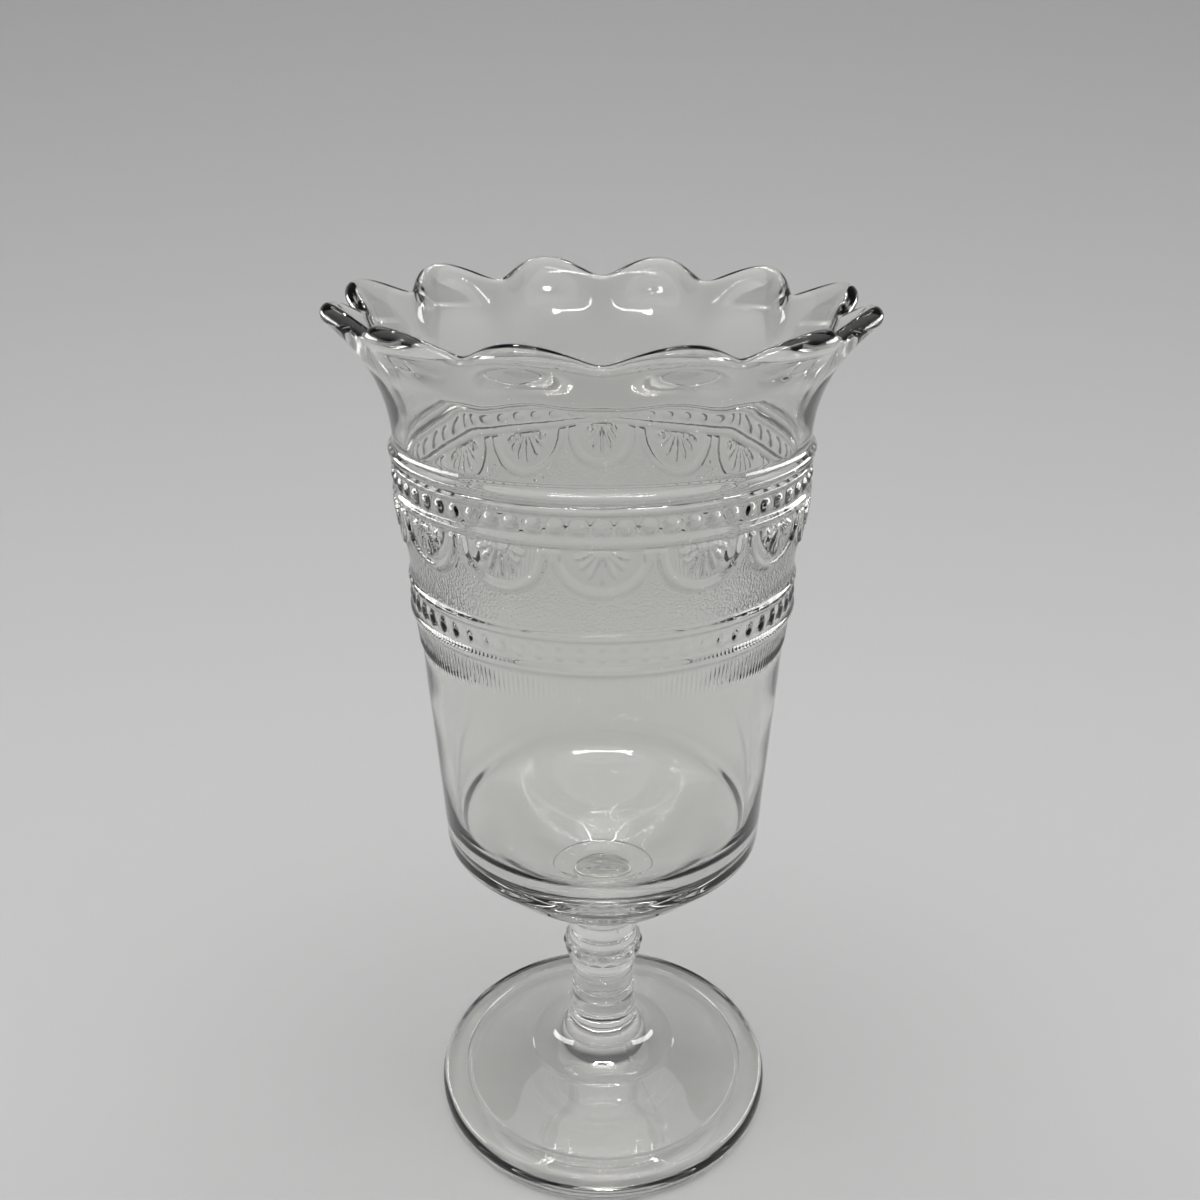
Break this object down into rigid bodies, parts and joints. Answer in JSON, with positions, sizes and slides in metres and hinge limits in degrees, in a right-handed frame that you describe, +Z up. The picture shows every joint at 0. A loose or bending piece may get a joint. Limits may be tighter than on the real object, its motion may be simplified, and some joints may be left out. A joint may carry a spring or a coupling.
{
  "type": "pressed glass pedestal vase",
  "caption": "Footed clear pressed glass vase with a deep ringed and looped bowl, flared scalloped rim, beaded knop stem and round hollow foot.",
  "frame": {"origin": "centre of the circle that the foot stands on, at floor level", "axes": "+Z up through the stem; -Y is the side that the picture faces, where the rim has a valley and the panel a loop; +X is the picture's right"},
  "size_m": [0.1284, 0.1284, 0.2412],
  "materials": {
    "bowl_glass": "clear fire-polished soda glass with a faint grey tint",
    "stem_glass": "clear fire-polished soda glass with a faint mould seam",
    "foot_glass": "clear soda glass, worn by handling on the cone and the standing ring"
  },
  "bodies": {
    "root": {"foot": "foot_glass", "stem": "stem_glass", "wafer": "stem_glass", "bowl": "bowl_glass"}
  },
  "joints": []
}
